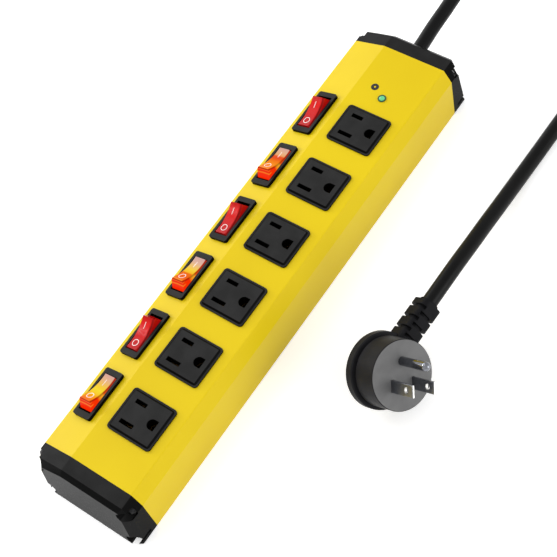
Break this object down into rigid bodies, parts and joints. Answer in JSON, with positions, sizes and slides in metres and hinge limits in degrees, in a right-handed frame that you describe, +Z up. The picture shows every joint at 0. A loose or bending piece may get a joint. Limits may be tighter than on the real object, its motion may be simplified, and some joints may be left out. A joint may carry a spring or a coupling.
{
  "type": "power distribution box",
  "caption": "Long metal power strip with grounded outlets, a lit rocker switch beside each one, an indicator, black end caps and a cord with a flat round right-angle plug.",
  "frame": {"origin": "centre of the strip's underside", "axes": "+Y along the strip to the cord end, +X from the switch side to the outlet side, +Z up"},
  "size_m": [0.197, 0.518, 0.0475],
  "materials": {
    "yellow_body": "satin yellow coating on an aluminium extrusion",
    "cap_plastic": "glossy black",
    "screw_steel": "bright zinc plate",
    "outlet_plastic": "satin black",
    "contact_brass": "plain",
    "case_plastic": "satin black",
    "rocker_off": "clear red, unlit",
    "rocker_lit": "clear red, lit from inside",
    "plunger_nylon": "plain",
    "neon_glass": "clear",
    "bus_copper": "plain copper",
    "lead_pvc": "insulation",
    "holder_plastic": "dark ring",
    "lens_green": "clear green, lit",
    "board_green": "lacquered",
    "varistor_blue": "dipped",
    "strap_steel": "zinc plate",
    "cord_pvc": "satin black sheath",
    "tie_fabric": "plain",
    "plug_pvc": "fine satin grain",
    "pin_nickel": "nickel plate"
  },
  "bodies": {
    "power_strip": {"extruded_body": "yellow_body", "front_end_cap": "cap_plastic", "rear_end_cap": "cap_plastic", "front_cap_screws": "screw_steel", "rear_cap_screws": "screw_steel", "outlet_1": "outlet_plastic", "outlet_2": "outlet_plastic", "outlet_3": "outlet_plastic", "outlet_4": "outlet_plastic", "outlet_5": "outlet_plastic", "outlet_6": "outlet_plastic", "live_contacts": "contact_brass", "neutral_contacts": "contact_brass", "ground_contacts": "contact_brass", "switch_case_1": "case_plastic", "switch_case_2": "case_plastic", "switch_case_3": "case_plastic", "switch_case_4": "case_plastic", "switch_case_5": "case_plastic", "switch_case_6": "case_plastic", "switch_terminals": "contact_brass", "neon_lamps": "neon_glass", "live_bus": "bus_copper", "neutral_bus": "bus_copper", "ground_bus": "bus_copper", "switch_leads": "lead_pvc", "indicator_holder": "holder_plastic", "indicator_lens": "lens_green", "surge_board": "board_green", "board_posts": "plunger_nylon", "varistors": "varistor_blue", "cord_strap": "strap_steel", "strap_screws": "screw_steel", "supply_leads": "lead_pvc", "cord_at_strip": "cord_pvc", "cord_coil": "cord_pvc", "coil_tie": "tie_fabric", "cord_at_plug": "cord_pvc", "plug_body": "plug_pvc", "plug_relief": "plug_pvc", "plug_blades": "pin_nickel", "plug_ground_pin": "pin_nickel"},
    "rocker_1_body": {"rocker_1": "rocker_off", "plunger_1": "plunger_nylon"},
    "lever_1_body": {"lever_1": "contact_brass"},
    "rocker_2_body": {"rocker_2": "rocker_lit", "plunger_2": "plunger_nylon"},
    "lever_2_body": {"lever_2": "contact_brass"},
    "rocker_3_body": {"rocker_3": "rocker_off", "plunger_3": "plunger_nylon"},
    "lever_3_body": {"lever_3": "contact_brass"},
    "rocker_4_body": {"rocker_4": "rocker_lit", "plunger_4": "plunger_nylon"},
    "lever_4_body": {"lever_4": "contact_brass"},
    "rocker_5_body": {"rocker_5": "rocker_off", "plunger_5": "plunger_nylon"},
    "lever_5_body": {"lever_5": "contact_brass"},
    "rocker_6_body": {"rocker_6": "rocker_lit", "plunger_6": "plunger_nylon"},
    "lever_6_body": {"lever_6": "contact_brass"}
  },
  "joints": [
    {"name": "rocker_1_press", "type": "hinge", "parent": "power_strip", "child": "rocker_1_body", "pos_m": [-0.02067, 0.0885, 0.03052], "axis": [0.9514, 0, 0.3079], "range_deg": [-26.7, 0]},
    {"name": "lever_1_tilt", "type": "hinge", "parent": "power_strip", "child": "lever_1_body", "pos_m": [-0.01724, 0.0885, 0.01991], "axis": [0.9514, 0, 0.3079], "range_deg": [0, 14]},
    {"name": "rocker_2_press", "type": "hinge", "parent": "power_strip", "child": "rocker_2_body", "pos_m": [-0.02067, 0.0488, 0.03052], "axis": [0.9514, 0, 0.3079], "range_deg": [0, 26.7]},
    {"name": "lever_2_tilt", "type": "hinge", "parent": "power_strip", "child": "lever_2_body", "pos_m": [-0.01724, 0.0488, 0.01991], "axis": [0.9514, 0, 0.3079], "range_deg": [-14, 0]},
    {"name": "rocker_3_press", "type": "hinge", "parent": "power_strip", "child": "rocker_3_body", "pos_m": [-0.02067, 0.0091, 0.03052], "axis": [0.9514, 0, 0.3079], "range_deg": [-26.7, 0]},
    {"name": "lever_3_tilt", "type": "hinge", "parent": "power_strip", "child": "lever_3_body", "pos_m": [-0.01724, 0.0091, 0.01991], "axis": [0.9514, 0, 0.3079], "range_deg": [0, 14]},
    {"name": "rocker_4_press", "type": "hinge", "parent": "power_strip", "child": "rocker_4_body", "pos_m": [-0.02067, -0.0306, 0.03052], "axis": [0.9514, 0, 0.3079], "range_deg": [0, 26.7]},
    {"name": "lever_4_tilt", "type": "hinge", "parent": "power_strip", "child": "lever_4_body", "pos_m": [-0.01724, -0.0306, 0.01991], "axis": [0.9514, 0, 0.3079], "range_deg": [-14, 0]},
    {"name": "rocker_5_press", "type": "hinge", "parent": "power_strip", "child": "rocker_5_body", "pos_m": [-0.02067, -0.0703, 0.03052], "axis": [0.9514, 0, 0.3079], "range_deg": [-26.7, 0]},
    {"name": "lever_5_tilt", "type": "hinge", "parent": "power_strip", "child": "lever_5_body", "pos_m": [-0.01724, -0.0703, 0.01991], "axis": [0.9514, 0, 0.3079], "range_deg": [0, 14]},
    {"name": "rocker_6_press", "type": "hinge", "parent": "power_strip", "child": "rocker_6_body", "pos_m": [-0.02067, -0.11, 0.03052], "axis": [0.9514, 0, 0.3079], "range_deg": [0, 26.7]},
    {"name": "lever_6_tilt", "type": "hinge", "parent": "power_strip", "child": "lever_6_body", "pos_m": [-0.01724, -0.11, 0.01991], "axis": [0.9514, 0, 0.3079], "range_deg": [-14, 0]}
  ],
  "couplings": [
    {"joint": "lever_1_tilt", "follows": "rocker_1_press", "ratio": -0.5243},
    {"joint": "lever_2_tilt", "follows": "rocker_2_press", "ratio": -0.5243},
    {"joint": "lever_3_tilt", "follows": "rocker_3_press", "ratio": -0.5243},
    {"joint": "lever_4_tilt", "follows": "rocker_4_press", "ratio": -0.5243},
    {"joint": "lever_5_tilt", "follows": "rocker_5_press", "ratio": -0.5243},
    {"joint": "lever_6_tilt", "follows": "rocker_6_press", "ratio": -0.5243}
  ]
}
